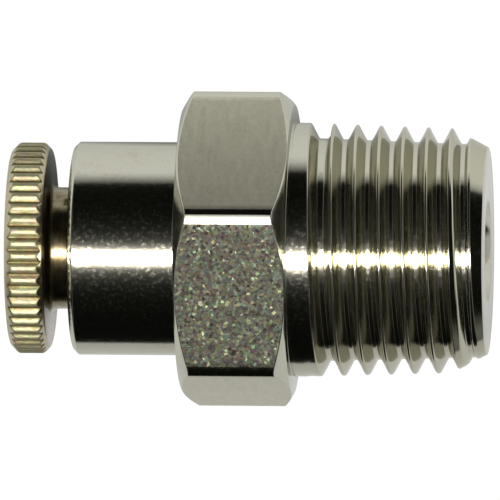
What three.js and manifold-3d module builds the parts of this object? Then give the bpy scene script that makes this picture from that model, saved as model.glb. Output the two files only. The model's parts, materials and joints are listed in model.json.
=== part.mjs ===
// Straight push-to-connect fitting: a tapered pipe thread at one end, a tube socket with a
// knurled release button at the other. Millimetres, +Z up. The axis lies along X, the tube
// goes in towards +X, and the body rests on one flat of its hexagon.

import * as THREE from 'three';
import { mergeVertices } from 'three/addons/utils/BufferGeometryUtils.js';
import Module from 'manifold-3d';

const manifold = await Module();
manifold.setup();

// ---- Driving dimensions ----

const facets = 32;                      // flats round every turned surface
const arcSteps = 3;                     // flats along each fillet and corner

const faceGap = 0.02;                   // between pieces stacked face to face
const pressGap = 0.02;                  // between a seated ring and its bore
const slidingGap = 0.1;                 // between the button's barb and its chamber

const tubeDiameter = 3.175;
const tubeSlip = 0.0625;                // radial play of the tube in its guides
const tubeSeatLength = 2.7;             // guided length past the seal

const hexAcrossFlats = 11.11;
const hexLength = 4.25;
const hexCornerRadius = 0.6;
const hexChamferSlope = Math.tan(THREE.MathUtils.degToRad(30));
const hexChamferInsetMouth = 0.13;      // chamfer circle inside the flats, barrel side
const hexChamferInsetThread = 0.02;     // and thread side

const barrelLength = 4.18;
const barrelWall = 0.64;
const barrelChamfer = 0.2;
const barrelFillet = 0.15;

const threadLength = 7.43;              // from the hexagon to the end face, collar included
const threadLargeDiameter = 9.72;
const collarLength = 0.6;
const threadPitch = 25.4 / 28;
const threadTaper = 1 / 16;             // on diameter
const threadDepth = 0.64 * threadPitch;
const threadRootFlat = 0.1667 * threadPitch;
const threadFlankSlope = Math.tan(THREE.MathUtils.degToRad(27.5));
const threadStartX = 1.1;               // middle of the first groove, on the +Y side
const threadRunInFacets = 9;            // the groove starts this far before +Y
const threadFadeFacets = 6;             // and reaches its full depth after this many
const endFaceDiameter = 7.94;
const endChamferSlope = Math.tan(THREE.MathUtils.degToRad(25));

const passageRadius = 1.2;
const passageLength = 2.9;
const portRadius = 1.65;
const portCountersink = 0.3;

const oRingSection = 1.3;
const oRingSqueeze = 0.0875;            // how far the free ring reaches inside the tube
const oRingPlay = 0.11;
const washerThickness = 0.4;
const washerSlip = 0.03;

const toothCount = 8;
const toothLength = 1.6;
const toothThickness = 0.25;
const toothRootWidth = 1.2;
const toothTipWidth = 0.85;
const toothLean = THREE.MathUtils.degToRad(40);
const toothBite = 0.075;                // the tips stand this far inside the tube's surface
const toothRoom = 0.05;
const gripRimWidth = 0.42;
const toothRootGap = 0.05;              // round the teeth's roots as they turn
const gripRimSlip = 0.05;               // round the rim

const spacerWeb = 0.32;
const spacerSlip = 0.07;

const bushInset = 0.05;
const bushLipLength = 1.25;
const bushLipGap = 0.27;
const bushWall = 0.38;
const bushSpare = 0.34;                 // chamber left behind the pressed barb

const buttonTravel = 0.74;
const buttonStopGap = 0.18;             // left between rim and mouth when pressed
const buttonRimDiameter = 8.08;
const buttonRimThickness = 1.49;
const buttonFrontChamfer = 0.3;
const buttonBackChamfer = 0.25;
const buttonNeckWall = 0.68;
const buttonNeckFillet = 0.35;
const buttonMouthChamfer = 0.45;
const barbSlack = 0.13;
const barbLand = 0.2;
const barbRamp = 0.38;
const noseWall = 0.25;
const noseTaperLength = 1.1;
const noseGap = 0.15;                   // between the nose and the teeth, button out
const slitCount = 4;                    // each between two of the grab ring's teeth
const slitWidth = 0.4;
const slitPastBarb = 0.6;
const knurlTeeth = 52;
const knurlDepth = 0.13;
const knurlCrestShare = 0.3;            // part of each tooth's pitch that its crest takes

// ---- Radii, from the tube outwards ----

const tubeRadius = tubeDiameter / 2;
const tubeGuideRadius = tubeRadius + tubeSlip;

const oRingInnerRadius = tubeRadius - oRingSqueeze;
const oRingOuterRadius = oRingInnerRadius + oRingSection;
const glandRadius = oRingOuterRadius + pressGap;

const toothTipRadius = tubeRadius - toothBite;
const toothHingeRadius = toothTipRadius + toothLength * Math.cos(toothLean);
const toothRootReach = Math.hypot(toothHingeRadius + toothThickness / 2, toothRootWidth / 2);
const gripRimInnerRadius = toothRootReach + toothRootGap;
const gripRimOuterRadius = gripRimInnerRadius + gripRimWidth;

const cartridgeRadius = gripRimOuterRadius + gripRimSlip;
const seatedRadius = cartridgeRadius - pressGap;
const barrelRadius = cartridgeRadius + barrelWall;
const threadLargeRadius = threadLargeDiameter / 2;
const endFaceRadius = endFaceDiameter / 2;

const neckRadius = tubeGuideRadius + buttonNeckWall;
const bushLipRadius = neckRadius + bushLipGap;
const chamberRadius = seatedRadius - bushWall;
const barbRadius = chamberRadius - slidingGap;
const noseTipRadius = tubeGuideRadius + noseWall;
const buttonRimRadius = buttonRimDiameter / 2;

// ---- Places along the axis; x = 0 is the hexagon's face on the thread side ----

const mouthX = -(hexLength + barrelLength);

const bushFrontX = mouthX + bushInset;
const bushLipEndX = bushFrontX + bushLipLength;
const bushEndX = bushLipEndX + barbSlack + barbLand + buttonTravel + bushSpare;

const gripRimX = bushEndX + faceGap;
const toothHingeX = gripRimX + toothThickness / 2;

const spacerX = gripRimX + toothThickness + faceGap;
const spacerWebX = toothHingeX + toothLength + toothRoom;
const spacerEndX = spacerWebX + spacerWeb;

const glandX = spacerEndX + faceGap;
const washerX = glandX + faceGap;
const oRingMiddleX = washerX + washerThickness + faceGap + oRingSection / 2;
const glandEndX = oRingMiddleX + oRingSection / 2 + oRingPlay;
const tubeStopX = glandEndX + tubeSeatLength;
const portX = tubeStopX + passageLength;

const rimBackX = mouthX - buttonTravel - buttonStopGap;
const rimFrontX = rimBackX - buttonRimThickness;
const barbX = bushLipEndX + barbSlack;
const toothFaceAtNose = (toothHingeRadius - noseTipRadius) * Math.tan(toothLean)
  - toothThickness / 2 / Math.cos(toothLean);
const noseEndX = toothHingeX + toothFaceAtNose - noseGap;

const overreach = 1;                    // how far cutting tools pass beyond what they cut
const weldDistance = 1e-5;              // corners closer than this become one

// ---- Materials ----

const nickelPlate = { color: 0xc4c1b2, roughness: 0.22, metalness: 1 };
const brassTintedPlate = { color: 0xcfc49c, roughness: 0.28, metalness: 1 };
const barePolishedBrass = { color: 0xc8a45a, roughness: 0.3, metalness: 1 };
const springSteel = { color: 0xb4b6b8, roughness: 0.3, metalness: 1 };
const acetal = { color: 0xe6e3da, roughness: 0.5, metalness: 0 };
const nitrileRubber = { color: 0x1b1b1c, roughness: 0.6, metalness: 0 };

// ---- Making solids ----

// A closed geometry becomes a solid that can be joined and cut.
function toSolid(geometry) {
  geometry.deleteAttribute('normal');
  geometry.deleteAttribute('uv');
  const welded = mergeVertices(geometry, weldDistance);
  const corners = welded.index.array;
  const kept = [];
  for (let i = 0; i < corners.length; i += 3) {
    const [a, b, c] = corners.slice(i, i + 3);
    if (a !== b && b !== c && c !== a) {
      kept.push(a, b, c);
    }
  }
  return new manifold.Manifold(new manifold.Mesh({
    numProp: 3,
    vertProperties: Float32Array.from(welded.attributes.position.array),
    triVerts: Uint32Array.from(kept),
  }));
}

function toMesh(name, solid, finish) {
  const result = solid.getMesh();
  const geometry = new THREE.BufferGeometry();
  geometry.setAttribute('position', new THREE.BufferAttribute(result.vertProperties, 3));
  geometry.setIndex(new THREE.BufferAttribute(result.triVerts, 1));
  geometry.computeVertexNormals();
  const mesh = new THREE.Mesh(geometry, new THREE.MeshStandardMaterial(finish));
  mesh.name = name;
  return mesh;
}

// Turned about X: the profile is a list of [x, radius], outer surface towards +X.
function turned(profile) {
  const points = profile.map(([x, radius]) => new THREE.Vector2(radius, x));
  const geometry = new THREE.LatheGeometry(points, facets);
  const axes = [new THREE.Vector3(0, 0, 1), new THREE.Vector3(1, 0, 0), new THREE.Vector3(0, 1, 0)];
  geometry.applyMatrix4(new THREE.Matrix4().makeBasis(...axes));
  return toSolid(geometry);
}

function ring(startX, endX, innerRadius, outerRadius) {
  return turned([
    [startX, innerRadius],
    [startX, outerRadius],
    [endX, outerRadius],
    [endX, innerRadius],
    [startX, innerRadius],
  ]);
}

// A section drawn in Y and Z, running along X.
function prism(section, startX, endX) {
  const geometry = new THREE.ExtrudeGeometry(section, {
    depth: endX - startX,
    bevelEnabled: false,
    curveSegments: arcSteps,
  });
  const axes = [new THREE.Vector3(0, 1, 0), new THREE.Vector3(0, 0, 1), new THREE.Vector3(1, 0, 0)];
  geometry.applyMatrix4(new THREE.Matrix4().makeBasis(...axes));
  geometry.translate(startX, 0, 0);
  return toSolid(geometry);
}

// Points on an arc round [centreX, centreRadius], as [x, radius]; angles from +X towards outwards.
function arcPoints(centreX, centreRadius, radius, fromDegrees, toDegrees) {
  const points = [];
  for (let i = 0; i <= arcSteps; i += 1) {
    const degrees = fromDegrees + (toDegrees - fromDegrees) * i / arcSteps;
    const angle = THREE.MathUtils.degToRad(degrees);
    points.push([centreX + radius * Math.cos(angle), centreRadius + radius * Math.sin(angle)]);
  }
  return points;
}

// ---- Body ----

// A hexagonal bar with flats facing +Z and -Z and rounded corners, chamfered at both ends.
function hexagon() {
  const section = new THREE.Shape();
  const cornerPlace = (hexAcrossFlats / 2 - hexCornerRadius) / Math.cos(Math.PI / 6);
  for (let corner = 0; corner < 6; corner += 1) {
    const angle = corner * Math.PI / 3;
    section.absarc(
      cornerPlace * Math.cos(angle),
      cornerPlace * Math.sin(angle),
      hexCornerRadius,
      angle - Math.PI / 6,
      angle + Math.PI / 6,
    );
  }
  const mouthCircle = hexAcrossFlats / 2 - hexChamferInsetMouth;
  const threadCircle = hexAcrossFlats / 2 - hexChamferInsetThread;
  const pastCorners = hexAcrossFlats / 2 / Math.cos(Math.PI / 6);
  const envelope = turned([
    [-hexLength, 0],
    [-hexLength, mouthCircle],
    [-hexLength + (pastCorners - mouthCircle) * hexChamferSlope, pastCorners],
    [-(pastCorners - threadCircle) * hexChamferSlope, pastCorners],
    [0, threadCircle],
    [0, 0],
  ]);
  return prism(section, -hexLength, 0).intersect(envelope);
}

// The turned outside: barrel, collar and the cone that the thread is cut in.
function turnedBlank() {
  const halfTaper = threadTaper / 2;
  const chamferStartX = (threadLength * endChamferSlope + endFaceRadius - threadLargeRadius
    - collarLength * halfTaper) / (endChamferSlope - halfTaper);
  const chamferStartRadius = threadLargeRadius - (chamferStartX - collarLength) * halfTaper;
  const filletX = -hexLength - barrelFillet;
  const insideHexX = -hexLength / 2;
  return turned([
    [mouthX, 0],
    [mouthX, barrelRadius - barrelChamfer],
    [mouthX + barrelChamfer, barrelRadius],
    ...arcPoints(filletX, barrelRadius + barrelFillet, barrelFillet, -90, 0),
    [insideHexX, barrelRadius + barrelFillet],
    [insideHexX, threadLargeRadius],
    [collarLength, threadLargeRadius],
    [chamferStartX, chamferStartRadius],
    [threadLength, endFaceRadius],
    [threadLength, 0],
  ]);
}

// The stepped hole from the mouth through to the port.
function throughBore() {
  return turned([
    [mouthX - overreach, 0],
    [mouthX - overreach, cartridgeRadius],
    [glandX, cartridgeRadius],
    [glandX, glandRadius],
    [glandEndX, glandRadius],
    [glandEndX, tubeGuideRadius],
    [tubeStopX, tubeGuideRadius],
    [tubeStopX, passageRadius],
    [portX, passageRadius],
    [portX, portRadius],
    [threadLength - portCountersink, portRadius],
    [threadLength + overreach, portRadius + portCountersink + overreach],
    [threadLength + overreach, 0],
  ]);
}

// The groove's section is drawn along X with its root at height 0, run straight for as many
// units as there are turns, and then wrapped round the axis as a right-hand helix.
function threadGroove() {
  const clearOfCrest = 0.1;
  const rootHalf = threadRootFlat / 2;
  const height = threadDepth + clearOfCrest;
  const topHalf = rootHalf + height * threadFlankSlope;
  const section = new THREE.Shape([
    new THREE.Vector2(-rootHalf, 0),
    new THREE.Vector2(rootHalf, 0),
    new THREE.Vector2(topHalf, height),
    new THREE.Vector2(-topHalf, height),
  ]);
  const startTurn = -threadRunInFacets / facets;
  const steps = Math.ceil(((threadLength + topHalf - threadStartX) / threadPitch - startTurn) * facets);
  const geometry = new THREE.ExtrudeGeometry(section, {
    depth: steps / facets,
    steps,
    bevelEnabled: false,
  });
  const position = geometry.attributes.position;
  for (let i = 0; i < position.count; i += 1) {
    const run = position.getZ(i);
    const turn = startTurn + run;
    const middleX = threadStartX + threadPitch * turn;
    const fade = Math.max(0, 1 - run * facets / threadFadeFacets);
    const rootRadius = threadLargeRadius - (middleX - collarLength) * threadTaper / 2
      - threadDepth * (1 - fade);
    const radius = rootRadius + position.getY(i);
    const angle = turn * 2 * Math.PI;
    position.setXYZ(
      i,
      middleX + position.getX(i),
      radius * Math.cos(angle),
      radius * Math.sin(angle),
    );
  }
  return toSolid(geometry);
}

function body() {
  return turnedBlank().add(hexagon()).subtract(throughBore()).subtract(threadGroove());
}

// ---- Cartridge in the mouth ----

// A sleeve pressed into the mouth; its inner lip keeps the button from coming out.
function mouthBush() {
  return turned([
    [bushFrontX, bushLipRadius],
    [bushFrontX, seatedRadius],
    [bushEndX, seatedRadius],
    [bushEndX, chamberRadius],
    [bushLipEndX, chamberRadius],
    [bushLipEndX, bushLipRadius],
    [bushFrontX, bushLipRadius],
  ]);
}

function gripRim() {
  return ring(gripRimX, gripRimX + toothThickness, gripRimInnerRadius, gripRimOuterRadius);
}

// One tooth of the grab ring, drawn flat from its root and leaned back along the tube.
function gripTooth(name) {
  const outline = new THREE.Shape([
    new THREE.Vector2(0, -toothRootWidth / 2),
    new THREE.Vector2(toothLength, -toothTipWidth / 2),
    new THREE.Vector2(toothLength, toothTipWidth / 2),
    new THREE.Vector2(0, toothRootWidth / 2),
  ]);
  const geometry = new THREE.ExtrudeGeometry(outline, { depth: toothThickness, bevelEnabled: false });
  geometry.translate(0, 0, -toothThickness / 2);
  const mesh = toMesh(name, toSolid(geometry), springSteel);
  const along = new THREE.Vector3(Math.sin(toothLean), -Math.cos(toothLean), 0);
  const across = new THREE.Vector3(0, 0, 1);
  const through = new THREE.Vector3().crossVectors(along, across);
  mesh.quaternion.setFromRotationMatrix(new THREE.Matrix4().makeBasis(along, across, through));
  mesh.position.set(toothHingeX, toothHingeRadius, 0);
  return mesh;
}

function gripTeeth() {
  const teeth = new THREE.Group();
  for (let i = 0; i < toothCount; i += 1) {
    const seat = new THREE.Group();
    seat.rotation.x = i * 2 * Math.PI / toothCount;
    seat.add(gripTooth(`grab_tooth_${i + 1}`));
    teeth.add(seat);
  }
  return teeth;
}

// Keeps the grab ring off the seal and leaves room for its teeth to swing back.
function spacerRing() {
  const wallInnerRadius = gripRimInnerRadius;
  const webInnerRadius = tubeGuideRadius + spacerSlip;
  return turned([
    [spacerX, wallInnerRadius],
    [spacerX, seatedRadius],
    [spacerEndX, seatedRadius],
    [spacerEndX, webInnerRadius],
    [spacerWebX, webInnerRadius],
    [spacerWebX, wallInnerRadius],
    [spacerX, wallInnerRadius],
  ]);
}

function backupWasher() {
  return ring(washerX, washerX + washerThickness, tubeGuideRadius + washerSlip, oRingOuterRadius);
}

function oRing() {
  const sides = 10;
  const middleRadius = oRingInnerRadius + oRingSection / 2;
  const section = [];
  for (let i = 0; i <= sides; i += 1) {
    const angle = -i * 2 * Math.PI / sides;
    section.push([
      oRingMiddleX + oRingSection / 2 * Math.cos(angle),
      middleRadius + oRingSection / 2 * Math.sin(angle),
    ]);
  }
  return turned(section);
}

// ---- Release button ----

// The rim's outline: straight knurling, each tooth a narrow crest between V grooves.
function knurledRim() {
  const outline = [];
  const pitchAngle = 2 * Math.PI / knurlTeeth;
  const crestAngle = pitchAngle * knurlCrestShare;
  for (let i = 0; i < knurlTeeth; i += 1) {
    const middle = i * pitchAngle;
    const corners = [
      [middle - crestAngle / 2, buttonRimRadius],
      [middle + crestAngle / 2, buttonRimRadius],
      [middle + pitchAngle / 2, buttonRimRadius - knurlDepth],
    ];
    for (const [angle, radius] of corners) {
      outline.push(new THREE.Vector2(radius * Math.cos(angle), radius * Math.sin(angle)));
    }
  }
  const section = new THREE.Shape(outline);
  const envelope = turned([
    [rimFrontX, 0],
    [rimFrontX, buttonRimRadius - buttonFrontChamfer],
    [rimFrontX + buttonFrontChamfer, buttonRimRadius],
    [rimFrontX + buttonFrontChamfer, buttonRimRadius + overreach],
    [rimBackX - buttonBackChamfer, buttonRimRadius + overreach],
    [rimBackX - buttonBackChamfer, buttonRimRadius],
    [rimBackX, buttonRimRadius - buttonBackChamfer],
    [rimBackX, 0],
  ]);
  return prism(section, rimFrontX, rimBackX).intersect(envelope);
}

// The stem behind the rim: neck, the barb that the bush's lip holds, and the pushing nose.
function buttonStem() {
  const filletX = rimBackX + buttonNeckFillet;
  const noseTaperX = noseEndX - noseTaperLength;
  return turned([
    [rimBackX - buttonNeckFillet, 0],
    [rimBackX - buttonNeckFillet, neckRadius + buttonNeckFillet],
    ...arcPoints(filletX, neckRadius + buttonNeckFillet, buttonNeckFillet, 180, 270),
    [barbX, neckRadius],
    [barbX, barbRadius],
    [barbX + barbLand, barbRadius],
    [barbX + barbLand + barbRamp, neckRadius],
    [noseTaperX, neckRadius],
    [noseEndX, noseTipRadius],
    [noseEndX, 0],
  ]);
}

function buttonBore() {
  return turned([
    [rimFrontX - overreach, 0],
    [rimFrontX - overreach, tubeGuideRadius + buttonMouthChamfer + overreach],
    [rimFrontX + buttonMouthChamfer, tubeGuideRadius],
    [noseEndX + overreach, tubeGuideRadius],
    [noseEndX + overreach, 0],
  ]);
}

// Slits through the nose and barb let them spring inwards past the bush's lip.
function noseSlit(index) {
  const half = slitWidth / 2;
  const section = new THREE.Shape([
    new THREE.Vector2(0, -half),
    new THREE.Vector2(barbRadius + overreach, -half),
    new THREE.Vector2(barbRadius + overreach, half),
    new THREE.Vector2(0, half),
  ]);
  const turn = index * 360 / slitCount + 180 / toothCount;
  return prism(section, barbX - slitPastBarb, noseEndX + overreach).rotate([turn, 0, 0]);
}

function releaseButton() {
  let button = knurledRim().add(buttonStem()).subtract(buttonBore());
  for (let i = 0; i < slitCount; i += 1) {
    button = button.subtract(noseSlit(i));
  }
  return button;
}

// ---- Assembly ----

const fitting = new THREE.Group();
fitting.add(
  toMesh('body', body(), nickelPlate),
  toMesh('mouth_bush', mouthBush(), nickelPlate),
  toMesh('release_button', releaseButton(), brassTintedPlate),
  toMesh('grab_ring_rim', gripRim(), springSteel),
  gripTeeth(),
  toMesh('spacer_ring', spacerRing(), barePolishedBrass),
  toMesh('backup_washer', backupWasher(), acetal),
  toMesh('o_ring', oRing(), nitrileRubber),
);
fitting.position.set(-(rimFrontX + threadLength) / 2, 0, hexAcrossFlats / 2);

export default fitting;
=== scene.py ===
import json
import math

import bmesh
import bpy
from mathutils import Matrix, Vector


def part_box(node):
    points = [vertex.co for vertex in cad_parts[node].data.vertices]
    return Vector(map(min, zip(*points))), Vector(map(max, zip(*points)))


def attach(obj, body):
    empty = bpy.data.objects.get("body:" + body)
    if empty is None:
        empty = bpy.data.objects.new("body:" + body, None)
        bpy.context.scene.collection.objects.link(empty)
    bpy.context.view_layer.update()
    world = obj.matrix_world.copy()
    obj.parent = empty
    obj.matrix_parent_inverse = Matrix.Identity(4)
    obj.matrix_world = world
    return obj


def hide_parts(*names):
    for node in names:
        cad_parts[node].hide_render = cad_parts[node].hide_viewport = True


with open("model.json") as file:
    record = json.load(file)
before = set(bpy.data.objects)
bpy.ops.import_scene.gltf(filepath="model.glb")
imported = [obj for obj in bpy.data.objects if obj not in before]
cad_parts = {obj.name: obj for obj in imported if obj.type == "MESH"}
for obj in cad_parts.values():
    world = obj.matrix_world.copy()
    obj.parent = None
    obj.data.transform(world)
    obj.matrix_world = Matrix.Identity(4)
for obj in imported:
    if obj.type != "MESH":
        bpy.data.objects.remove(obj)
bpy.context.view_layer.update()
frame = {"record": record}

mm = 0.001
mounts = {mount["name"]: Vector(mount["pos_m"]) / mm for mount in frame["record"]["mounts"]}


def boxOf(node):
    low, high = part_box(node)
    return low / mm, high / mm


bodyLow, bodyHigh = boxOf("body")
buttonLow, buttonHigh = boxOf("release_button")
axisHeight = (bodyLow.z + bodyHigh.z) / 2
acrossFlats = bodyHigh.z - bodyLow.z
mouthX = bodyLow.x
endX = bodyHigh.x
hexEndX = mounts["port_shoulder"].x
hexStartX = 2 * mounts["rest_flat"].x - hexEndX
print("frame: hexagon", round(hexStartX, 3), "to", round(hexEndX, 3), "mm, axis at", round(axisHeight, 3))


# Sums, differences and products of sockets, so that shader maths reads as an expression.
class Wire:
    def __init__(self, finish, socket):
        self.finish = finish
        self.socket = socket

    def __add__(self, other):
        return self.finish.maths("ADD", self, other)

    def __sub__(self, other):
        return self.finish.maths("SUBTRACT", self, other)

    def __rsub__(self, other):
        return self.finish.maths("SUBTRACT", other, self)

    def __mul__(self, other):
        return self.finish.maths("MULTIPLY", self, other)

    __radd__ = __add__
    __rmul__ = __mul__


# Short ways to wire a node tree.
class Bench:
    def __init__(self, tree):
        self.tree = tree

    def plug(self, socket, value):
        if isinstance(value, Wire):
            self.tree.links.new(value.socket, socket)
        else:
            socket.default_value = value

    def node(self, kind, settings, sockets, output=0):
        made = self.tree.nodes.new("ShaderNode" + kind)
        for key, value in settings.items():
            if key == "stops":
                ramp = made.color_ramp
                ramp.elements[0].position, ramp.elements[0].color = value[0]
                ramp.elements[1].position, ramp.elements[1].color = value[-1]
                for place, colour in value[1:-1]:
                    ramp.elements.new(place).color = colour
            else:
                setattr(made, key, value)
        for key, value in sockets.items():
            self.plug(made.inputs[key], value)
        return None if output is None else Wire(self, made.outputs[output])

    def maths(self, operation, first, second=0.0):
        return self.node("Math", {"operation": operation}, {0: first, 1: second})

    # From 0 at low to 1 at high, and no further.
    def clamped(self, value, low, high):
        return self.node("MapRange", {}, {"Value": value, "From Min": low, "From Max": high})

    def mixed(self, share, first, second, blend="MIX"):
        settings = {"data_type": "RGBA", "blend_type": blend}
        return self.node("Mix", settings, {0: share, 6: first, 7: second}, 2)

    def vectorMaths(self, operation, sockets):
        return self.node("VectorMath", {"operation": operation}, sockets)

    def part(self, vector, axis):
        return self.node("SeparateXYZ", {}, {0: vector}, axis)


# One material with a single Principled shader.
class Finish(Bench):
    def __init__(self, name, metallic=1.0, **constants):
        self.material = bpy.data.materials.new(name)
        self.material.use_nodes = True
        super().__init__(self.material.node_tree)
        self.shader = self.tree.nodes["Principled BSDF"]
        self.shader.inputs["Metallic"].default_value = metallic
        for socket, value in constants.items():
            self.shader.inputs[socket.replace("_", " ")].default_value = value

    def place(self):
        raw = self.node("TexCoord", {}, {}, "Object")
        return self.vectorMaths("SCALE", {0: raw, "Scale": 1 / mm})

    # Distance along the fitting, turn round its axis in radians, and distance from it, in mm.
    def roundAxis(self):
        place = self.place()
        along = self.part(place, "X")
        across = self.part(place, "Y")
        up = self.part(place, "Z") - axisHeight
        turn = self.maths("ARCTAN2", up, across)
        radius = self.maths("SQRT", across * across + up * up)
        return along, turn, radius

    def joined(self, x, y, z):
        return self.node("CombineXYZ", {}, {0: x, 1: y, 2: z})

    def noise(self, place, scale, detail, rough, output="Fac"):
        sockets = {"Vector": place, "Scale": scale, "Detail": detail, "Roughness": rough}
        return self.node("TexNoise", {}, sockets, output)

    # The rings a turning tool leaves, with the scale of the pattern along, round and out from the axis.
    def toolRings(self, scale, detail, rough):
        along, turn, radius = self.roundAxis()
        alongScale, turnScale, outScale = scale
        place = self.joined(along * alongScale, turn * turnScale, radius * outScale)
        return self.noise(place, scale=1.0, detail=detail, rough=rough)

    def bumped(self, height, depth):
        bump = self.node("Bump", {}, {"Height": height, "Distance": depth * mm})
        self.plug(self.shader.inputs["Normal"], bump)

    def finished(self, colour, roughness):
        self.plug(self.shader.inputs["Base Color"], colour)
        self.plug(self.shader.inputs["Roughness"], roughness)
        return self.material


# Points of a profile, each corner (x, radius, ease) rounded over the distance ease.
def eased(corners, steps=3):
    points = []
    for i, (x, radius, ease) in enumerate(corners):
        here = Vector((x, radius))
        if ease == 0:
            points.append(here)
            continue
        back = Vector(corners[i - 1][:2]) - here
        on = Vector(corners[(i + 1) % len(corners)][:2]) - here
        reach = min(ease, 0.45 * back.length, 0.45 * on.length)
        start = here + back.normalized() * reach
        end = here + on.normalized() * reach
        for k in range(steps + 1):
            t = k / steps
            points.append(start * (1 - t) ** 2 + here * 2 * t * (1 - t) + end * t ** 2)
    return points


weldDistance = 2e-7
faceWeight = 60    # above 50, larger faces rule the shading


# A closed skin round the axis. Each column is (turn, loop of points); the last lies on the first.
def roundSkin(name, columns, body, node, finishNames, finishOf=None):
    mesh = bmesh.new()
    grid = []
    for turn, loop in columns:
        across = math.cos(turn)
        up = math.sin(turn)
        ring = [(x, r * across, axisHeight + r * up) for x, r in loop]
        grid.append([mesh.verts.new([value * mm for value in point]) for point in ring])
    for here, there in zip(grid, grid[1:]):
        for j in range(len(here)):
            k = (j + 1) % len(here)
            mesh.faces.new((here[j], here[k], there[k], there[j]))
    bmesh.ops.remove_doubles(mesh, verts=mesh.verts, dist=weldDistance)
    bmesh.ops.recalc_face_normals(mesh, faces=mesh.faces)
    return madePiece(name, mesh, body, [node], finishNames, finishOf)


def madePiece(name, mesh, body, nodes, finishNames, finishOf=None):
    for face in mesh.faces:
        face.smooth = True
        if finishOf:
            face.material_index = finishNames.index(finishOf(face))
    data = bpy.data.meshes.new(name)
    mesh.to_mesh(data)
    mesh.free()
    for finishName in finishNames:
        data.materials.append(finishes[finishName])
    piece = bpy.data.objects.new(name, data)
    bpy.context.scene.collection.objects.link(piece)
    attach(piece, body)
    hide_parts(*nodes)
    print("made", name, len(data.polygons), "faces")
    return piece


def shaded(piece):
    normals = piece.modifiers.new("faceNormals", "WEIGHTED_NORMAL")
    normals.weight = faceWeight


def evenTurns(count):
    return [2 * math.pi * i / count for i in range(count + 1)]


def turnedPiece(name, corners, sides, body, node, finishName):
    loop = eased(corners)
    columns = [(turn, loop) for turn in evenTurns(sides)]
    shaded(roundSkin(name, columns, body, node, [finishName]))


# The lower of two values, with the corner where they cross eased over reach.
def softMin(first, second, reach):
    near = max(reach - abs(first - second), 0) / reach
    return min(first, second) - near * near * reach / 4


# Release button: knurled rim, neck, snap barb and nose.
button = {
    "rimThickness": 1.49,
    "frontChamfer": 0.3,
    "backChamfer": 0.25,
    "knurlTeeth": 52,
    "knurlDepth": 0.13,
    "neckRadius": 2.33,
    "neckFillet": 0.35,
    "boreRadius": 1.65,
    "mouthChamfer": 0.45,
    "barb": (-5.295, -5.095),
    "barbRadius": 2.945,
    "barbRamp": 0.38,
    "noseTaper": 1.1,
    "noseRadius": 1.9,
    "slitWidth": 0.4,
    "slitStart": -5.895,
    "slitTurns": (22.5, 112.5, 202.5, 292.5),
    "cutterSpare": 1.0,
    "edge": 0.04,
    "rimEase": 0.08,
    "mouthEase": 0.1,
    "noseEase": 0.1,
    "easeSteps": 4,
    "finishMargin": 0.02,
}
rimRadius = buttonHigh.y
rimFrontX = buttonLow.x
rimBackX = rimFrontX + button["rimThickness"]
noseEndX = buttonHigh.x


# Nickel on the turned outside: mirror bright, with tool rings and faint brown patches.
nickel = {
    "colour": (0.555, 0.555, 0.475, 1),
    "warm": (0.46, 0.40, 0.29, 1),
    "warmShare": 0.5,
    "warmFrom": (0.52, 0.72),
    "cloudShare": 0.6,
    "roughness": 0.12,
    "cornerRoughness": 0.39,
    "roughnessSpread": 0.07,
    "roughFrom": (0.5, 0.75),
    "ringScale": (9, 0.35, 2),
    "ringDepth": 0.0004,
    "dentDepth": 0.0014,
    "speckDepth": 0.0010,
    "grazing": (0.72, 0.72, 0.70, 1),
    # painted shade on the thread's sloping faces, and how far a face must slope to take it
    "flankShade": (0.50, 0.49, 0.39, 1),
    "flankShadeFrom": (0.12, 0.40),
}


def nickelFinish(name, roughness, shadeFlanks=False):
    finish = Finish(name, Specular_Tint=nickel["grazing"])
    rings = finish.toolRings(nickel["ringScale"], detail=5.0, rough=0.7)
    cloud = finish.noise(finish.place(), scale=0.9, detail=4.0, rough=0.6)
    specks = finish.noise(finish.place(), scale=7.0, detail=3.0, rough=0.6)
    uneven = cloud * nickel["cloudShare"] + specks * (1 - nickel["cloudShare"])
    stain = finish.clamped(uneven, *nickel["warmFrom"]) * nickel["warmShare"]
    colour = finish.mixed(stain, nickel["colour"], nickel["warm"])
    if shadeFlanks:    # painted shade: the thread's sloping faces coloured darker than its roots and crests
        slope = finish.part(finish.node("NewGeometry", {}, {}, "Normal"), "X")
        flankShadeShare = finish.clamped(finish.maths("ABSOLUTE", slope), *nickel["flankShadeFrom"])
        colour = finish.mixed(flankShadeShare, colour, nickel["flankShade"])
    spread = finish.clamped(specks, *nickel["roughFrom"]) * nickel["roughnessSpread"]
    ringShare = nickel["ringDepth"] / nickel["dentDepth"]
    speckShare = nickel["speckDepth"] / nickel["dentDepth"]
    finish.bumped(cloud + rings * ringShare + specks * speckShare, nickel["dentDepth"])
    return finish.finished(colour, roughness + spread)


# Drawn bar's skin on the hexagon: small flat dimples that tip the light about, strong on the top and
# bottom flats and faint on the other four. On those two flats the darker pits and speckled cell colours
# are partly the bar's own pitting and partly painted shade and painted glints.
drawn = {
    "colour": (0.56, 0.55, 0.43, 1),
    "pitAndShade": (0.30, 0.31, 0.23, 1),
    "pitAndShadeFrom": (0.50, 0.74),
    "tint": 0.24,
    "roughness": 0.185,
    "roughnessSpread": 0.06,
    "roughFrom": (0.35, 0.7),
    "dimpleSize": 0.105,
    "wander": 0.05,
    "shallowTilt": 0.035,
    "steepTilt": 0.17,
    "steepFrom": 0.55,
    "smoothShare": 0.10,
    "uprightFrom": (0.7, 0.9),
    "grain": 7.0,
    "lineScale": (0.9, 3.5),    # per mm, round the bar and along it
    "darkLines": (0.51, 0.505, 0.395, 1),
    "darkFrom": (0.42, 0.66),
}


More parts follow.
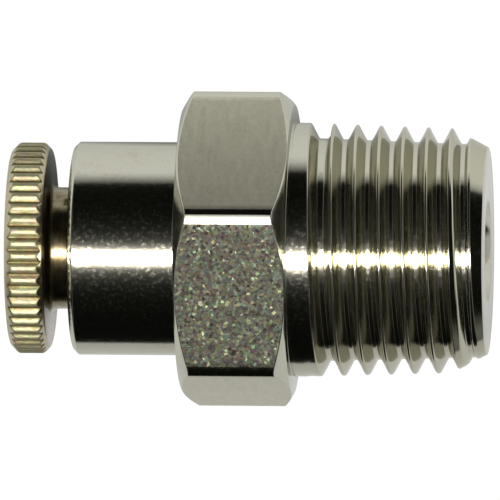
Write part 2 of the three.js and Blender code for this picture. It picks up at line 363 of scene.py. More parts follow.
def drawnFinish():
    finish = Finish("drawnNickel", Specular_Tint=nickel["grazing"])
    place = finish.place()
    wander = finish.noise(place, scale=3.0, detail=3.0, rough=0.6, output="Color")
    shifted = finish.vectorMaths("MULTIPLY_ADD", {0: wander, 1: (drawn["wander"],) * 3, 2: place})
    cells = finish.node("TexVoronoi", {}, {"Vector": shifted, "Scale": 1 / drawn["dimpleSize"]}, "Color")
    swing = finish.vectorMaths("SUBTRACT", {0: cells, 1: (0.5,) * 3})
    pick = finish.node("TexWhiteNoise", {}, {"Vector": cells})
    chosen = finish.clamped(pick, drawn["steepFrom"], 1.0)
    straight = finish.node("NewGeometry", {}, {}, "Normal")
    upright = finish.maths("ABSOLUTE", finish.part(straight, "Z"))
    smooth = drawn["smoothShare"]
    dimplesAndPaintedGlints = finish.clamped(upright, *drawn["uprightFrom"]) * (1 - smooth) + smooth
    reach = (chosen * drawn["steepTilt"] + drawn["shallowTilt"]) * dimplesAndPaintedGlints
    tilt = finish.vectorMaths("SCALE", {0: swing, "Scale": reach})
    tipped = finish.vectorMaths("ADD", {0: straight, 1: tilt})
    finish.plug(finish.shader.inputs["Normal"], finish.vectorMaths("NORMALIZE", {0: tipped}))
    grain = finish.noise(place, scale=drawn["grain"], detail=4.0, rough=0.65)
    roundScale, alongScale = drawn["lineScale"]
    along, turn, radius = finish.roundAxis()
    lined = finish.joined(along * alongScale, turn * roundScale * radius, radius * roundScale)
    lines = finish.noise(lined, scale=1.0, detail=4.0, rough=0.6)
    ground = finish.mixed(finish.clamped(lines, *drawn["darkFrom"]), drawn["colour"], drawn["darkLines"])
    # painted shade and painted glints: darker pits and speckled cell colours mostly on the flats the
    # upright mask picks
    colour = finish.mixed(finish.clamped(grain, *drawn["pitAndShadeFrom"]) * dimplesAndPaintedGlints, ground, drawn["pitAndShade"])
    colour = finish.mixed(dimplesAndPaintedGlints * drawn["tint"], colour, cells, "OVERLAY")
    spread = finish.clamped(grain, *drawn["roughFrom"]) * drawn["roughnessSpread"]
    return finish.finished(colour, drawn["roughness"] + spread)


# Thin nickel over brass on the button: the brass shows through yellow.
tinted = {
    "colour": (0.50, 0.47, 0.35, 1),
    "brass": (0.44, 0.39, 0.25, 1),
    "brassFrom": (0.42, 0.66),
    "roughness": 0.17,
    "roughnessSpread": 0.12,
    "roughFrom": (0.4, 0.7),
    "ringScale": (3, 0.4, 8),
    "ringDepth": 0.003,
}


def tintedFinish():
    finish = Finish("tintedNickel", Specular_Tint=nickel["grazing"])
    rings = finish.toolRings(tinted["ringScale"], detail=5.0, rough=0.7)
    patches = finish.noise(finish.place(), scale=0.9, detail=4.0, rough=0.65)
    colour = finish.mixed(finish.clamped(patches, *tinted["brassFrom"]), tinted["colour"], tinted["brass"])
    finish.bumped(rings, tinted["ringDepth"])
    spread = finish.clamped(patches, *tinted["roughFrom"]) * tinted["roughnessSpread"]
    return finish.finished(colour, tinted["roughness"] + spread)


# The knurl's plate: painted shade, darker brown towards the bottom of the troughs, uneven in colour, with a
# coarse grain.
knurl = {
    "colour": (0.33, 0.31, 0.195, 1),
    "troughShade": (0.14, 0.115, 0.05, 1),
    "troughShadeFrom": (0.45, 0.95),
    "troughShadeShare": 0.6,
    "patchShare": 0.7,
    "crestBand": 0.02,
    "tint": 0.35,
    "roughness": 0.49,
    "roughnessSpread": 0.12,
    "grainDepth": 0.018,
}


def knurlFinish():
    finish = Finish("knurledPlate")
    radius = finish.roundAxis()[-1]
    # painted shade: rises from the crests down into the troughs
    low = 1 - finish.clamped(radius, rimRadius - button["knurlDepth"], rimRadius - knurl["crestBand"])
    patches = finish.noise(finish.place(), scale=3.5, detail=4.0, rough=0.7)
    grain = finish.noise(finish.place(), scale=13.0, detail=3.0, rough=0.6)
    brown = finish.clamped(low * knurl["troughShadeShare"] + patches * knurl["patchShare"], *knurl["troughShadeFrom"])
    colour = finish.mixed(brown, knurl["colour"], knurl["troughShade"])
    hues = finish.noise(finish.place(), scale=4.0, detail=2.0, rough=0.6, output="Color")
    colour = finish.mixed(knurl["tint"], colour, hues, "OVERLAY")
    finish.bumped(grain, knurl["grainDepth"])
    return finish.finished(colour, knurl["roughness"] + patches * knurl["roughnessSpread"])


# Dark nickel on the mouth bush; the same dark colour on the button's neck is painted shade, where the neck
# sits between the rim and the barrel's mouth.
bushPlateAndNeckShade = {
    "colour": (0.25, 0.23, 0.15, 1),
    "brown": (0.14, 0.105, 0.05, 1),
    "brownFrom": (0.4, 0.65),
    "roughness": 0.16,
    "roughnessSpread": 0.1,
    "ringScale": (10, 0.3, 10),
    "ringDepth": 0.002,
}


def bushAndNeckShadeFinish():
    finish = Finish("bushNickel")
    rings = finish.toolRings(bushPlateAndNeckShade["ringScale"], detail=4.0, rough=0.7)
    patches = finish.noise(finish.place(), scale=2.0, detail=3.0, rough=0.6)
    brown = finish.clamped(patches, *bushPlateAndNeckShade["brownFrom"])
    colour = finish.mixed(brown, bushPlateAndNeckShade["colour"], bushPlateAndNeckShade["brown"])
    finish.bumped(rings, bushPlateAndNeckShade["ringDepth"])
    return finish.finished(colour, bushPlateAndNeckShade["roughness"] + rings * bushPlateAndNeckShade["roughnessSpread"])


# Stamped spring steel: a fine grain from rolling, running one way along the strip.
spring = {
    "colour": (0.50, 0.51, 0.52, 1),
    "dull": (0.33, 0.33, 0.34, 1),
    "dullFrom": (0.35, 0.7),
    "roughness": 0.24,
    "roughnessSpread": 0.12,
    "grainScale": (3, 3, 40),
    "grainDepth": 0.0012,
}


def springFinish():
    finish = Finish("springSteel")
    stretched = finish.vectorMaths("MULTIPLY", {0: finish.place(), 1: spring["grainScale"]})
    grain = finish.noise(stretched, scale=1.0, detail=4.0, rough=0.6)
    colour = finish.mixed(finish.clamped(grain, *spring["dullFrom"]), spring["colour"], spring["dull"])
    finish.bumped(grain, spring["grainDepth"])
    return finish.finished(colour, spring["roughness"] + grain * spring["roughnessSpread"])


brass = {
    "colour": (0.62, 0.42, 0.15, 1),
    "tarnish": (0.30, 0.17, 0.06, 1),
    "tarnishFrom": (0.45, 0.7),
    "roughness": 0.22,
    "roughnessSpread": 0.12,
    "ringScale": (12, 0.2, 12),
    "ringDepth": 0.003,
}


def brassFinish():
    finish = Finish("turnedBrass")
    rings = finish.toolRings(brass["ringScale"], detail=5.0, rough=0.75)
    patches = finish.noise(finish.place(), scale=1.4, detail=4.0, rough=0.6)
    colour = finish.mixed(finish.clamped(patches, *brass["tarnishFrom"]), brass["colour"], brass["tarnish"])
    finish.bumped(rings, brass["ringDepth"])
    return finish.finished(colour, brass["roughness"] + rings * brass["roughnessSpread"])


acetal = {
    "colour": (0.72, 0.69, 0.60, 1),
    "shade": (0.60, 0.56, 0.46, 1),
    "roughness": 0.42,
    "roughnessSpread": 0.1,
    "ringScale": (4, 0.2, 14),
    "ringDepth": 0.004,
    "scatter": 0.15,
    "scatterDepth": 0.3,
    "refraction": 1.48,
}


def acetalFinish():
    finish = Finish(
        "machinedAcetal",
        metallic=0.0,
        Subsurface_Weight=acetal["scatter"],
        Subsurface_Scale=acetal["scatterDepth"] * mm,
        IOR=acetal["refraction"],
    )
    rings = finish.toolRings(acetal["ringScale"], detail=4.0, rough=0.7)
    patches = finish.noise(finish.place(), scale=1.6, detail=3.0, rough=0.5)
    colour = finish.mixed(patches, acetal["colour"], acetal["shade"])
    finish.bumped(rings, acetal["ringDepth"])
    return finish.finished(colour, acetal["roughness"] + rings * acetal["roughnessSpread"])


# Moulded nitrile with a film of grease on it in patches.
rubber = {
    "colour": (0.010, 0.010, 0.011, 1),
    "bloom": (0.035, 0.034, 0.033, 1),
    "roughness": 0.42,
    "roughnessSpread": 0.15,
    "grainDepth": 0.002,
    "grease": 0.5,
    "greaseFrom": (0.4, 0.6),
    "greaseRoughness": 0.12,
    "refraction": 1.52,
}


def rubberFinish():
    finish = Finish(
        "greasedNitrile",
        metallic=0.0,
        IOR=rubber["refraction"],
        Coat_Roughness=rubber["greaseRoughness"],
    )
    bloom = finish.noise(finish.place(), scale=2.5, detail=4.0, rough=0.6)
    grain = finish.noise(finish.place(), scale=24.0, detail=2.0, rough=0.5)
    patches = finish.noise(finish.place(), scale=1.2, detail=2.0, rough=0.5)
    grease = finish.clamped(patches, *rubber["greaseFrom"]) * rubber["grease"]
    finish.plug(finish.shader.inputs["Coat Weight"], grease)
    finish.bumped(grain, rubber["grainDepth"])
    colour = finish.mixed(bloom, rubber["colour"], rubber["bloom"])
    return finish.finished(colour, rubber["roughness"] + grain * rubber["roughnessSpread"])


finishes = {
    "nickel": nickelFinish("brightNickel", nickel["roughness"]),
    "corner": nickelFinish("burnishedCorners", nickel["cornerRoughness"]),
    "thread": nickelFinish("cutThreadShadedFlanks", nickel["roughness"], True),
    "drawn": drawnFinish(),
    "tinted": tintedFinish(),
    "knurl": knurlFinish(),
    "bush": bushAndNeckShadeFinish(),
    "spring": springFinish(),
    "brass": brassFinish(),
    "acetal": acetalFinish(),
    "rubber": rubberFinish(),
}
print("finishes ready:", len(finishes))

# Body: barrel, hexagon, collar, taper thread and the stepped bore, in one skin. Sizes in mm.
body = {
    "barrelRadius": 4.085,
    "mouthChamfer": 0.2,
    "barrelFillet": 0.15,
    "hexCornerRounding": 0.6,
    "mouthChamferCircle": 5.425,
    "threadChamferCircle": 5.535,
    "collarLength": 0.6,
    "collarRadius": 4.86,
    "endFaceRadius": 3.97,
    "endSlope": math.tan(math.radians(28)),
    "cartridgeRadius": 3.445,
    "glandRadius": 2.82,
    "guideRadius": 1.65,
    "passageRadius": 1.2,
    "portRadius": 1.65,
    "countersink": 0.3,
    "gland": (-1.88, -0.03),
    "tubeStop": 2.67,
    "portBottom": 5.57,
    "edge": 0.035,
    "chamferSlope": math.tan(math.radians(30)),
    "collarHold": (0.08, 0.05),    # points along the collar that keep its shading even
    "finishMargin": 0.01,
    "flatsAbove": 0.3,    # how far outside the collar the flats' finish starts
    "steepestFlat": 0.3,    # faces that lean further along the axis than this are chamfers
    "burnishFrom": math.radians(-8),
    "burnishedSide": 8.0,    # of the six corners only two, opposite each other, are rubbed
    "flatStrips": 30,
    "cornerStrips": 10,
}
thread = {
    "pitch": 25.4 / 28,
    "depth": 0.64 * 25.4 / 28,
    "rootFlat": 0.215,
    "flankSlope": math.tan(math.radians(27.5)),
    "halfTaper": 1 / 32,
    "firstGroove": 2.805,
    "startTurn": -9 / 32,
    "fadeTurns": 6 / 32,
    "crestEase": 0.06,
    "reliefTurns": 0.45,
    "reliefWidth": 0.2,
    "rootEase": 0.05,
    "coneEase": 0.04,
    "endGap": 0.03,
    "turnsBefore": 3,
}
# places across one pitch, in shares of it from the middle of the groove, close together at root and crest
halfPitchStations = (0.045, 0.07, 0.09, 0.11, 0.14, 0.25, 0.35, 0.385, 0.41, 0.435, 0.47)
stations = [-0.5] + [-s for s in reversed(halfPitchStations)] + [0.0] + list(halfPitchStations)

hexHalf = acrossFlats / 2
cornerPlace = (hexHalf - body["hexCornerRounding"]) / math.cos(math.pi / 6)
cornerReach = math.atan2(
    body["hexCornerRounding"] / 2,
    cornerPlace + body["hexCornerRounding"] * math.cos(math.pi / 6),
)


def hexRadius(turn):
    fromCorner = abs((turn + math.pi / 6) % (math.pi / 3) - math.pi / 6)
    if fromCorner < cornerReach:
        drop = cornerPlace * math.sin(fromCorner)
        return cornerPlace * math.cos(fromCorner) + math.sqrt(body["hexCornerRounding"] ** 2 - drop ** 2)
    return hexHalf / math.cos(math.pi / 6 - fromCorner)


def bodyTurns():
    turns = []
    flat = math.pi / 3 - 2 * cornerReach
    cornerStrips = body["cornerStrips"]
    flatStrips = body["flatStrips"]
    for corner in range(6):
        middle = corner * math.pi / 3
        turns += [middle + cornerReach * (2 * k / cornerStrips - 1) for k in range(cornerStrips)]
        turns += [middle + cornerReach + flat * k / flatStrips for k in range(flatStrips)]
    return turns + [turns[0] + 2 * math.pi]


collarEndX = hexEndX + body["collarLength"]
threadEndX = endX - thread["endGap"]


def blankRadius(x):
    return body["collarRadius"] - (x - collarEndX) * thread["halfTaper"]


def threadRadius(x, turnShare):
    pitch = thread["pitch"]
    whole = round((x - thread["firstGroove"]) / pitch - turnShare)
    turns = turnShare + whole
    middle = thread["firstGroove"] + pitch * turns
    cut = min(max((turns - thread["startTurn"]) / thread["fadeTurns"], 0), 1)
    rootHalf = thread["rootFlat"] / 2
    slope = thread["flankSlope"]
    crestHalf = rootHalf + thread["depth"] * slope
    if x > middle:    # the tool's run-in leaves the first groove wide, with a steep far wall
        relief = min(max(1 - turns / thread["reliefTurns"], 0), 1) * thread["reliefWidth"]
        rootHalf += relief
        slope = (crestHalf - rootHalf) / thread["depth"]
    height = -softMin(rootHalf - abs(x - middle), 0, thread["rootEase"]) / slope
    groove = blankRadius(middle) - thread["depth"] * cut + height
    cone = body["endFaceRadius"] + (endX - x) * body["endSlope"]
    return softMin(softMin(blankRadius(x), groove, thread["crestEase"]), cone, thread["coneEase"])


def bodyLoop(turn):
    radius = hexRadius(turn)
    edge = body["edge"]
    slope = body["chamferSlope"]
    holdStart, holdEnd = body["collarHold"]
    turnShare = turn / (2 * math.pi)
    mouthFace = min(radius, body["mouthChamferCircle"])
    threadFace = min(radius, body["threadChamferCircle"])
    corners = [
        (mouthX, body["cartridgeRadius"], edge),
        (mouthX, body["barrelRadius"] - body["mouthChamfer"], edge),
        (mouthX + body["mouthChamfer"], body["barrelRadius"], edge),
        (hexStartX, body["barrelRadius"], body["barrelFillet"]),
        (hexStartX, mouthFace, edge),
        (hexStartX + (radius - mouthFace) * slope, radius, edge),
        (hexEndX - (radius - threadFace) * slope, radius, edge),
        (hexEndX, threadFace, edge),
        (hexEndX, body["collarRadius"], edge),
        (hexEndX + holdStart, body["collarRadius"], 0),
        (collarEndX - holdEnd, body["collarRadius"], 0),
    ]
    turnsAlong = math.ceil((endX - thread["firstGroove"]) / thread["pitch"]) + 1
    for whole in range(-thread["turnsBefore"], turnsAlong + 1):
        for station in stations:
            x = thread["firstGroove"] + thread["pitch"] * (turnShare + whole + station)
            x = min(max(x, collarEndX), threadEndX)
            corners.append((x, threadRadius(x, turnShare), 0))
    glandStart, glandEnd = body["gland"]
    corners += [
        (endX, body["endFaceRadius"], edge),
        (endX, body["portRadius"] + body["countersink"], edge),
        (endX - body["countersink"], body["portRadius"], edge),
        (body["portBottom"], body["portRadius"], edge),
        (body["portBottom"], body["passageRadius"], edge),
        (body["tubeStop"], body["passageRadius"], edge),
        (body["tubeStop"], body["guideRadius"], edge),
        (glandEnd, body["guideRadius"], edge),
        (glandEnd, body["glandRadius"], edge),
        (glandStart, body["glandRadius"], edge),
        (glandStart, body["cartridgeRadius"], edge),
    ]
    return eased(corners)


def bodyFinishOf(face):
    middle = face.calc_center_median() / mm
    away = math.hypot(middle.y, middle.z - axisHeight)
    outside = away > (body["portRadius"] + body["endFaceRadius"]) / 2
    if collarEndX < middle.x < threadEndX and outside:
        return "thread"
    margin = body["finishMargin"]
    between = hexStartX + margin < middle.x < hexEndX - margin
    inside = away < body["collarRadius"] + body["flatsAbove"]
    if not between or inside or abs(face.normal.x) > body["steepestFlat"]:
        return "nickel"
    turn = math.atan2(middle.z - axisHeight, middle.y)
    fromCorner = (turn + math.pi / 6) % (math.pi / 3) - math.pi / 6
    if abs(fromCorner) > cornerReach:
        return "drawn"
    if middle.y * (middle.z - axisHeight) < body["burnishedSide"]:
        return "nickel"
    leaning = math.atan2(face.normal.z, face.normal.y) - turn
    leaning = (leaning + math.pi) % (2 * math.pi) - math.pi + fromCorner
    return "corner" if leaning > body["burnishFrom"] else "nickel"


bodySkin = roundSkin(
    "bodySkin",
    [(turn, bodyLoop(turn)) for turn in bodyTurns()],
    "fitting_body",
    "body",
    ["nickel", "drawn", "corner", "thread"],
    bodyFinishOf,
)
shaded(bodySkin)

# The button's skin follows its knurl round, ten columns to each tooth.
knurlSteps = (-0.42, -0.3, -0.2, -0.1, 0.0, 0.1, 0.2, 0.3, 0.42, 0.5)
knurlCrest = 0.1    # half the crest's width, as a share of one tooth


def knurlRadius(step):
    down = min(max((abs(step) - knurlCrest) / (0.5 - knurlCrest), 0), 1)
    return rimRadius - button["knurlDepth"] * down * down * (3 - 2 * down)


def buttonLoop(step):
    radius = knurlRadius(step)
    edge = button["edge"]
    rimEase = button["rimEase"]
    mouthEase = button["mouthEase"]
    frontFace = rimRadius - button["frontChamfer"]
    backFace = rimRadius - button["backChamfer"]
    barbStart, barbEnd = button["barb"]
    return eased([
        (rimFrontX, button["boreRadius"] + button["mouthChamfer"], mouthEase),
        (rimFrontX, frontFace, rimEase),
        (rimFrontX + radius - frontFace, radius, rimEase),
        (rimBackX - (radius - backFace), radius, rimEase),
        (rimBackX, backFace, rimEase),
        (rimBackX, button["neckRadius"], button["neckFillet"]),
        (barbStart, button["neckRadius"], edge),
        (barbStart, button["barbRadius"], edge),
        (barbEnd, button["barbRadius"], edge),
        (barbEnd + button["barbRamp"], button["neckRadius"], edge),
        (noseEndX - button["noseTaper"], button["neckRadius"], button["noseEase"]),
        (noseEndX, button["noseRadius"], edge),
        (noseEndX, button["boreRadius"], edge),
        (rimFrontX + button["mouthChamfer"], button["boreRadius"], mouthEase),
    ], button["easeSteps"])


buttonColumns = []
for tooth in range(button["knurlTeeth"]):
    for step in knurlSteps:
        turn = 2 * math.pi * (tooth + step) / button["knurlTeeth"]
        buttonColumns.append((turn, buttonLoop(step)))
buttonColumns.append((buttonColumns[0][0] + 2 * math.pi, buttonColumns[0][1]))


# The knurl, then the neck and all behind it in the bush's dark colour as painted shade, and the rest of the
# rim.
def buttonFinishOf(face):
    middle = face.calc_center_median() / mm
    away = math.hypot(middle.y, middle.z - axisHeight)
    margin = button["finishMargin"]
    if away > rimRadius - button["frontChamfer"] - margin and abs(face.normal.x) < 0.5:
        return "knurl"
    # painted shade: the neck and all behind the rim take the bush's dark colour
    return "bush" if middle.x > rimBackX - margin else "tinted"


buttonSkin = roundSkin(
    "buttonSkin",
    buttonColumns,
    "release_button",
    "release_button",
    ["tinted", "knurl", "bush"],
    buttonFinishOf,
)


# A block through the barb and nose for each slit, cut out and then thrown away.
def cutSlits(piece):
    for degrees in button["slitTurns"]:
        block = bmesh.new()
        bmesh.ops.create_cube(block, size=1)
        length = noseEndX - button["slitStart"] + button["cutterSpare"]
        height = button["barbRadius"] + button["cutterSpare"]
        bmesh.ops.scale(block, vec=(length * mm, height * mm, button["slitWidth"] * mm), verts=block.verts)
        bmesh.ops.translate(block, vec=(0, height / 2 * mm, 0), verts=block.verts)
        turned = Matrix.Rotation(math.radians(degrees), 3, "X")
        bmesh.ops.rotate(block, cent=(0, 0, 0), matrix=turned, verts=block.verts)
        place = ((button["slitStart"] + length / 2) * mm, 0, axisHeight * mm)
        bmesh.ops.translate(block, vec=place, verts=block.verts)
        data = bpy.data.meshes.new("slitBlock")
        block.to_mesh(data)
        block.free()
        cutter = bpy.data.objects.new("slitBlock", data)
        bpy.context.scene.collection.objects.link(cutter)
        cut = piece.modifiers.new("slit", "BOOLEAN")
        cut.operation = "DIFFERENCE"
        cut.solver = "EXACT"
        cut.object = cutter
        bpy.context.view_layer.update()
        whole = piece.evaluated_get(bpy.context.evaluated_depsgraph_get())
        solid = bpy.data.meshes.new_from_object(whole)
        piece.modifiers.clear()
        piece.data = solid
        bpy.data.objects.remove(cutter)
    print("cut", len(button["slitTurns"]), "slits in", piece.name)


cutSlits(buttonSkin)
shaded(buttonSkin)

# The cartridge in the mouth: bush, grab ring, spacer, washer and seal.
bushLow, bushHigh = boxOf("mouth_bush")
cartridge = {
    "sides": 128,
    "bushLip": (1.25, 2.60),
    "bushChamber": 3.045,
    "rimInner": 2.975,
    "spacerWall": 2.975,
    "spacerWeb": 0.32,
    "spacerBore": 1.72,
    "washerBore": 1.68,
    "edge": 0.03,
    "bushLipEase": 0.08,
    "bushFrontEase": 0.05,
    "sealSides": 40,
    "flashHeight": 0.008,
    "flashSpread": 0.1,
}


def bushCorners():
    lipLength, lipRadius = cartridge["bushLip"]
    chamber = cartridge["bushChamber"]
    edge = cartridge["edge"]
    return [
        (bushLow.x, lipRadius, cartridge["bushLipEase"]),
        (bushLow.x, bushHigh.y, cartridge["bushFrontEase"]),
        (bushHigh.x, bushHigh.y, edge),
        (bushHigh.x, chamber, edge),
        (bushLow.x + lipLength, chamber, edge),
        (bushLow.x + lipLength, lipRadius, edge),
    ]


def ringCorners(node, innerRadius):
    low, high = boxOf(node)
    edge = cartridge["edge"]
    return [
        (low.x, innerRadius, edge),
        (low.x, high.y, edge),
        (high.x, high.y, edge),
        (high.x, innerRadius, edge),
    ]


def spacerCorners():
    low, high = boxOf("spacer_ring")
    webX = high.x - cartridge["spacerWeb"]
    edge = cartridge["edge"]
    return [
        (low.x, cartridge["spacerWall"], edge),
        (low.x, high.y, edge),
        (high.x, high.y, edge),
        (high.x, cartridge["spacerBore"], edge),
        (webX, cartridge["spacerBore"], edge),
        (webX, cartridge["spacerWall"], edge),
    ]


# The seal's round section carries a fine line of flash inside and out, where its mould parted.
def sealCorners():
    low, high = boxOf("o_ring")
    section = (high.x - low.x) / 2
    middleX = (high.x + low.x) / 2
    middleRadius = high.y - section
    flashHeight = cartridge["flashHeight"]
    corners = []
    for i in range(cartridge["sealSides"]):
        angle = -2 * math.pi * i / cartridge["sealSides"]
        flash = flashHeight * math.exp(-(math.cos(angle) / cartridge["flashSpread"]) ** 2)
        reach = section - flashHeight + flash
        corners.append((middleX + reach * math.cos(angle), middleRadius + reach * math.sin(angle), 0))
    return corners


grabCorners = ringCorners("grab_ring_rim", cartridge["rimInner"])
washerCorners = ringCorners("backup_washer", cartridge["washerBore"])
turnedRings = (
    ("bushSkin", bushCorners(), "mouth_bush", "bush_plate", "bush"),
    ("grabRimSkin", grabCorners, "grab_ring_rim", "spring_steel", "spring"),
    ("spacerSkin", spacerCorners(), "spacer_ring", "turned_brass", "brass"),
    ("washerSkin", washerCorners, "backup_washer", "acetal", "acetal"),
    ("sealSkin", sealCorners(), "o_ring", "nitrile", "rubber"),
)
for name, corners, node, slot, finishName in turnedRings:
    turnedPiece(name, corners, cartridge["sides"], "fitting_body", node, finishName)

# The grab ring's teeth: stamped tabs, each with a hollowed tip that bites round the tube.
tab = {
    "count": 8,
    "length": 1.6,
    "thickness": 0.25,
    "rootWidth": 1.2,
    "tipWidth": 0.85,
    "tipHollow": 0.05,
    "tipSteps": 8,
    "lean": math.radians(40),
    "hingeX": -3.87,
    "hingeRadius": 2.738171,
    "bevel": 0.03,
    "bevelSteps": 2,
}


def tabOutline():
    half = tab["tipWidth"] / 2
    outline = [(0, -tab["rootWidth"] / 2)]
    for i in range(tab["tipSteps"] + 1):
        across = half * (2 * i / tab["tipSteps"] - 1)
        hollow = tab["tipHollow"] * (1 - (across / half) ** 2)
        outline.append((tab["length"] - hollow, across))
    outline.append((0, tab["rootWidth"] / 2))
    return outline


def makeTab(index):
    mesh = bmesh.new()
    turn = 2 * math.pi * index / tab["count"]
    out = Vector((0, math.cos(turn), math.sin(turn)))
    side = Vector((0, -math.sin(turn), math.cos(turn)))
    along = Vector((math.sin(tab["lean"]), 0, 0)) - out * math.cos(tab["lean"])
    through = along.cross(side)
    root = Vector((tab["hingeX"], 0, axisHeight)) + out * tab["hingeRadius"]
    layers = []
    for level in (-tab["thickness"] / 2, tab["thickness"] / 2):
        points = [root + along * a + side * b + through * level for a, b in tabOutline()]
        layers.append([mesh.verts.new(point * mm) for point in points])
    low, high = layers
    mesh.faces.new(list(reversed(low)))
    mesh.faces.new(high)
    for i in range(len(low)):
        j = (i + 1) % len(low)
        mesh.faces.new((low[i], low[j], high[j], high[i]))
    bmesh.ops.recalc_face_normals(mesh, faces=mesh.faces)
    name = f"grab_tooth_{index + 1}"
    piece = madePiece(f"tabSkin{index + 1}", mesh, name, [name], ["spring"])
    soft = piece.modifiers.new("stampedEdge", "BEVEL")
    soft.width = tab["bevel"] * mm
    soft.segments = tab["bevelSteps"]
    soft.limit_method = "ANGLE"
    shaded(piece)


for index in range(tab["count"]):
    makeTab(index)
print("pieces done")

# The room: one floor for the eye and one for the metal to mirror, a bright lamp and a faint warm one, and
# a nearly black world with soft light towards each end.
room = {
    "floorRadius": 2500.0,
    "floorSides": 128,
    "floorHeight": -0.04,
    "mirroredHeight": -0.02,
    "mirroredFrom": (-150.0, -32.0),
    "mirroredTo": (60.0, 112.0),
    "shade": (8.0, 4.5),
    "shadeMiddle": -2.0,
    "shadeEdge": (0.35, 1.5),
    "shadeColour": (0.02, 0.02, 0.015, 1),
    "glowAcross": (
        (-32, 0.6),
        (-18, 0.74),
        (-9, 0.98),
        (-5, 0.83),
        (0, 1.0),
        (24, 1.0),
        (41, 0.52),
        (61, 0.2),
        (110, 0.02),
    ),
    "glowBlue": 0.98,
    "floorGlow": 1.0,
    "mirroredGlow": 0.82,
    "floorColour": (0.02, 0.02, 0.02, 1),
    "floorRoughness": 0.9,
    "white": (1, 1, 1, 1),
    "dark": (0.0034, 0.0040, 0.0030, 1),
    "lampAway": 350.0,
    "lampTurn": 81.5,
    "lampSize": (400.0, 52.0),
    "lampSideways": -26.0,
    "lampPower": 3.5,
    "lampColour": (1.0, 0.985, 0.96),
    "warmBehind": 20.0,
    "warmSize": (230.0, 110.0),
    "warmPower": 0.085,
    "warmColour": (1.0, 0.60, 0.34),
    "band": (0.36, 0.44, 0.52, 0.64),
    "bandGlow": 0.18,
    "endPatch": (0.90, 0.96),
    "endHeight": (0.12, 0.24),
    "endGlow": 0.60,
    "bandColour": (1.0, 1.0, 0.98, 1),
}


def floorFinish(name, glow):
    return Finish(
        name,
        metallic=0.0,
        Base_Color=room["floorColour"],
        Roughness=room["floorRoughness"],
        Emission_Color=room["white"],
        Emission_Strength=glow,
    )


# The mirrored floor glows with painted light that fades towards its near and far sides, and carries a
# painted shadow under the fitting.
def dimFloor(finish):
    place = finish.place()
    across = finish.part(place, "Y")
    along = finish.part(place, "X")
    nearEdge = room["mirroredFrom"][1]
    depth = room["mirroredTo"][1] - nearEdge
    stops = []
    for y, glow in room["glowAcross"]:
        stops.append(((y - nearEdge) / depth, (glow, glow, glow * room["glowBlue"], 1)))
    fade = finish.node("ValToRGB", {"stops": stops}, {0: (across - nearEdge) * (1 / depth)})
    # painted shadow: a dark patch round the spot under the fitting
    shadeLength, shadeWidth = room["shade"]
    length = (along - room["shadeMiddle"]) * (1 / shadeLength)
    width = across * (1 / shadeWidth)
    clear = finish.clamped(length * length + width * width, *room["shadeEdge"])
    finish.plug(finish.shader.inputs["Emission Color"], finish.mixed(clear, room["shadeColour"], fade))


def makeFloor(name, mesh, finish):
    data = bpy.data.meshes.new(name)
    mesh.to_mesh(data)
    mesh.free()
    data.materials.append(finish.material)
    piece = bpy.data.objects.new(name, data)
    bpy.context.scene.collection.objects.link(piece)
    return piece


# the wide floor is what the eye sees; the metal mirrors only the part near the fitting
wide = bmesh.new()
wideRadius = room["floorRadius"] * mm
bmesh.ops.create_circle(wide, cap_ends=True, radius=wideRadius, segments=room["floorSides"])
bmesh.ops.translate(wide, vec=(0, 0, room["floorHeight"] * mm), verts=wide.verts)
bmesh.ops.recalc_face_normals(wide, faces=wide.faces)
for face in wide.faces:
    if face.normal.z < 0:
        face.normal_flip()
wideFinish = floorFinish("wideFloor", room["floorGlow"])
# clear from underneath, so that the fitting's lower side can be seen
fromBelow = wideFinish.node("NewGeometry", {}, {}, "Backfacing")
wideFinish.plug(wideFinish.shader.inputs["Alpha"], 1 - fromBelow)
makeFloor("wideFloor", wide, wideFinish).visible_glossy = False
near = bmesh.new()
fromX, fromY = room["mirroredFrom"]
toX, toY = room["mirroredTo"]
outline = ((fromX, fromY), (toX, fromY), (toX, toY), (fromX, toY))
near.faces.new([near.verts.new((x * mm, y * mm, room["mirroredHeight"] * mm)) for x, y in outline])
mirroredFinish = floorFinish("mirroredFloor", room["mirroredGlow"])
dimFloor(mirroredFinish)
makeFloor("mirroredFloor", near, mirroredFinish).visible_camera = False


def makeLamp(name, size, turn, away, sideways, power, colour):
    light = bpy.data.lights.new(name, "AREA")
    light.shape = "RECTANGLE"
    light.size = size[0] * mm
    light.size_y = size[1] * mm
    light.energy = power
    light.color = colour
    lamp = bpy.data.objects.new(name, light)
    angle = math.radians(turn)
    place = Vector((sideways, away * math.cos(angle), away * math.sin(angle)))
    back = place.normalized()
    level = Vector((0, 1, 0)).cross(back).normalized()
    turned = Matrix((level, back.cross(level), back)).transposed().to_4x4()
    lamp.matrix_world = Matrix.Translation((place + Vector((0, 0, axisHeight))) * mm) @ turned
    lamp.visible_camera = False
    bpy.context.scene.collection.objects.link(lamp)


lampPlace = (room["lampTurn"], room["lampAway"], room["lampSideways"])
makeLamp("softLamp", room["lampSize"], *lampPlace, room["lampPower"], room["lampColour"])
warmPlace = (room["lampTurn"], room["lampAway"] + room["warmBehind"], room["lampSideways"])
makeLamp("warmLamp", room["warmSize"], *warmPlace, room["warmPower"], room["warmColour"])


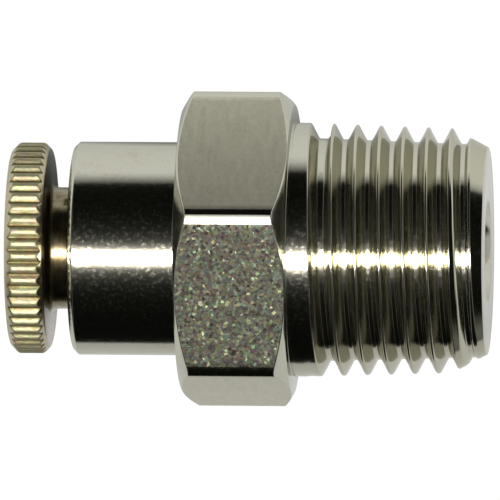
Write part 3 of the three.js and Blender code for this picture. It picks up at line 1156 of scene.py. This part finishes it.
# White to the eye. To the metal nearly black, with a soft band and a soft patch of light towards each end.
def makeWorld():
    world = bpy.data.worlds.new("room")
    world.use_nodes = True
    bpy.context.scene.world = world
    world.node_tree.nodes.clear()
    bench = Bench(world.node_tree)
    sky = bench.node("TexCoord", {}, {}, "Generated")
    endwards = bench.maths("ABSOLUTE", bench.part(sky, "X"))
    bandIn, bandFull, bandFade, bandOut = room["band"]
    band = bench.clamped(endwards, bandIn, bandFull) * (1 - bench.clamped(endwards, bandFade, bandOut))
    level = bench.part(sky, "Z")
    ends = bench.clamped(endwards, *room["endPatch"]) * (1 - bench.clamped(level, *room["endHeight"]))
    glow = band * room["bandGlow"] + ends * room["endGlow"]
    dark = bench.node("Background", {}, {"Color": room["dark"]})
    soft = bench.node("Background", {}, {"Color": room["bandColour"], "Strength": glow})
    lit = bench.node("AddShader", {}, {0: dark, 1: soft})
    white = bench.node("Background", {}, {"Color": room["white"]})
    eyeRay = bench.node("LightPath", {}, {}, "Is Camera Ray")
    seen = bench.node("MixShader", {}, {0: eyeRay, 1: lit, 2: white})
    bench.node("OutputWorld", {}, {"Surface": seen}, None)


makeWorld()
bpy.context.scene.view_settings.view_transform = "Standard"
print("room done")

# The camera looks down on the fitting, a little from the threaded end, from far off.
eye = {
    "tilt": 18.65,
    "swing": 4.4,
    "roll": 0.4,
    "away": 600.0,
    "fieldWidth": 19.157,
    "axisAbove": 0.027,
    "sensor": 36.0,
    "clip": (0.01, 10),    # metres
}
tilt = math.radians(eye["tilt"])
swing = math.radians(eye["swing"])
imageUp = Vector((0, math.cos(tilt), -math.sin(tilt)))
straightBack = Vector((0, math.sin(tilt), math.cos(tilt)))
back = straightBack * math.cos(swing) + Vector((math.sin(swing), 0, 0))
roll = math.radians(eye["roll"])
levelRight = imageUp.cross(back)
right = levelRight * math.cos(roll) + imageUp * math.sin(roll)
up = imageUp * math.cos(roll) - levelRight * math.sin(roll)
lens = bpy.data.cameras.new("lens")
lens.sensor_width = eye["sensor"]
lens.lens = eye["sensor"] * eye["away"] / eye["fieldWidth"]
lens.clip_start, lens.clip_end = eye["clip"]
camera = bpy.data.objects.new("camera", lens)
target = Vector(((buttonLow.x + bodyHigh.x) / 2, 0, axisHeight)) - imageUp * eye["axisAbove"]
turned = Matrix((right, up, back)).transposed().to_4x4()
camera.matrix_world = Matrix.Translation((target + back * eye["away"]) * mm) @ turned
bpy.context.scene.collection.objects.link(camera)
bpy.context.scene.camera = camera

bpy.context.view_layer.update()
